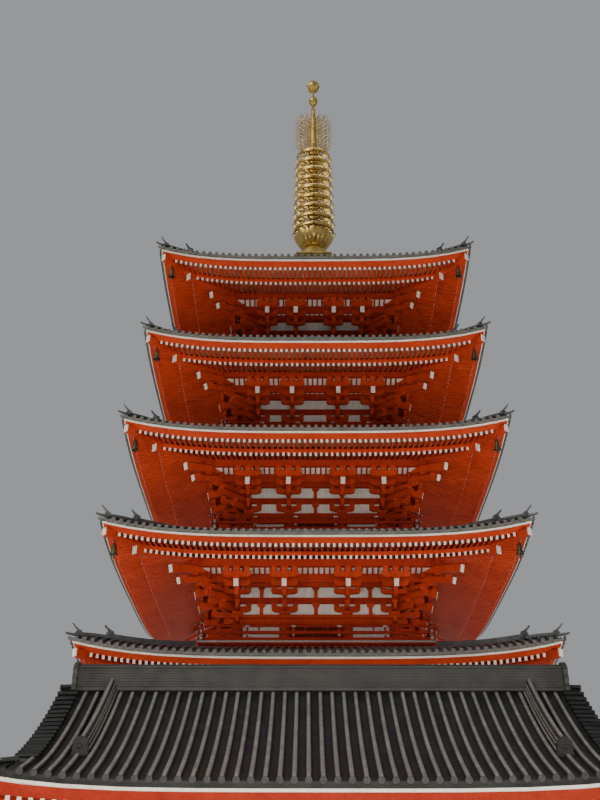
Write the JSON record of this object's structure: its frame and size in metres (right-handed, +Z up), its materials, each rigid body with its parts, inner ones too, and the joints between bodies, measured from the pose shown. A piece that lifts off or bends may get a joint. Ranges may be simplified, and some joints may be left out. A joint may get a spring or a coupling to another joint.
{
  "type": "five-storey pagoda, 1:2 scale model",
  "caption": "Square pagoda with stacked tiled roofs on bracketed eaves, railed balconies and a ringed spire, on a terrace with an entrance hall. Scale model at 1:2.",
  "frame": {"origin": "on the ground under the tower's axis, on the podium's flat underside", "axes": "+Z up, -Y towards the entrance hall, which is the side that the picture shows"},
  "size_m": [12, 18.35, 26.65],
  "materials": {
    "vermilion_timber": "satin vermilion paint",
    "white_plaster": "matte white plaster",
    "grey_tile": "dark grey weathered cast tile",
    "gilt_bronze": "aged gilding",
    "granite": "honed granite"
  },
  "bodies": {
    "root": {"storey_1_walls": "white_plaster", "storey_1_frame": "vermilion_timber", "storey_1_brackets": "vermilion_timber", "storey_1_eaves": "vermilion_timber", "storey_1_roof": "grey_tile", "storey_2_walls": "white_plaster", "storey_2_frame": "vermilion_timber", "storey_2_brackets": "vermilion_timber", "storey_2_eaves": "vermilion_timber", "storey_2_roof": "grey_tile", "storey_2_floor": "vermilion_timber", "storey_2_railing": "vermilion_timber", "storey_3_walls": "white_plaster", "storey_3_frame": "vermilion_timber", "storey_3_brackets": "vermilion_timber", "storey_3_eaves": "vermilion_timber", "storey_3_roof": "grey_tile", "storey_3_floor": "vermilion_timber", "storey_3_railing": "vermilion_timber", "storey_4_walls": "white_plaster", "storey_4_frame": "vermilion_timber", "storey_4_brackets": "vermilion_timber", "storey_4_eaves": "vermilion_timber", "storey_4_roof": "grey_tile", "storey_4_floor": "vermilion_timber", "storey_4_railing": "vermilion_timber", "storey_5_walls": "white_plaster", "storey_5_frame": "vermilion_timber", "storey_5_brackets": "vermilion_timber", "storey_5_eaves": "vermilion_timber", "storey_5_roof": "grey_tile", "storey_5_floor": "vermilion_timber", "storey_5_railing": "vermilion_timber", "spire_dew_basin": "gilt_bronze", "spire_bowl_and_lotus": "gilt_bronze", "spire_nine_rings": "gilt_bronze", "spire_water_flame": "gilt_bronze", "spire_jewels": "gilt_bronze", "podium_floor": "granite", "podium_walls": "granite", "podium_terrace": "granite", "tower_base": "granite", "hall_floor": "granite", "terrace_railing": "vermilion_timber", "hall_frame": "vermilion_timber", "hall_eaves": "vermilion_timber", "hall_walls": "white_plaster", "hall_passage": "white_plaster", "hall_gable_left": "white_plaster", "hall_gable_right": "white_plaster", "hall_roof": "grey_tile"}
  },
  "joints": []
}
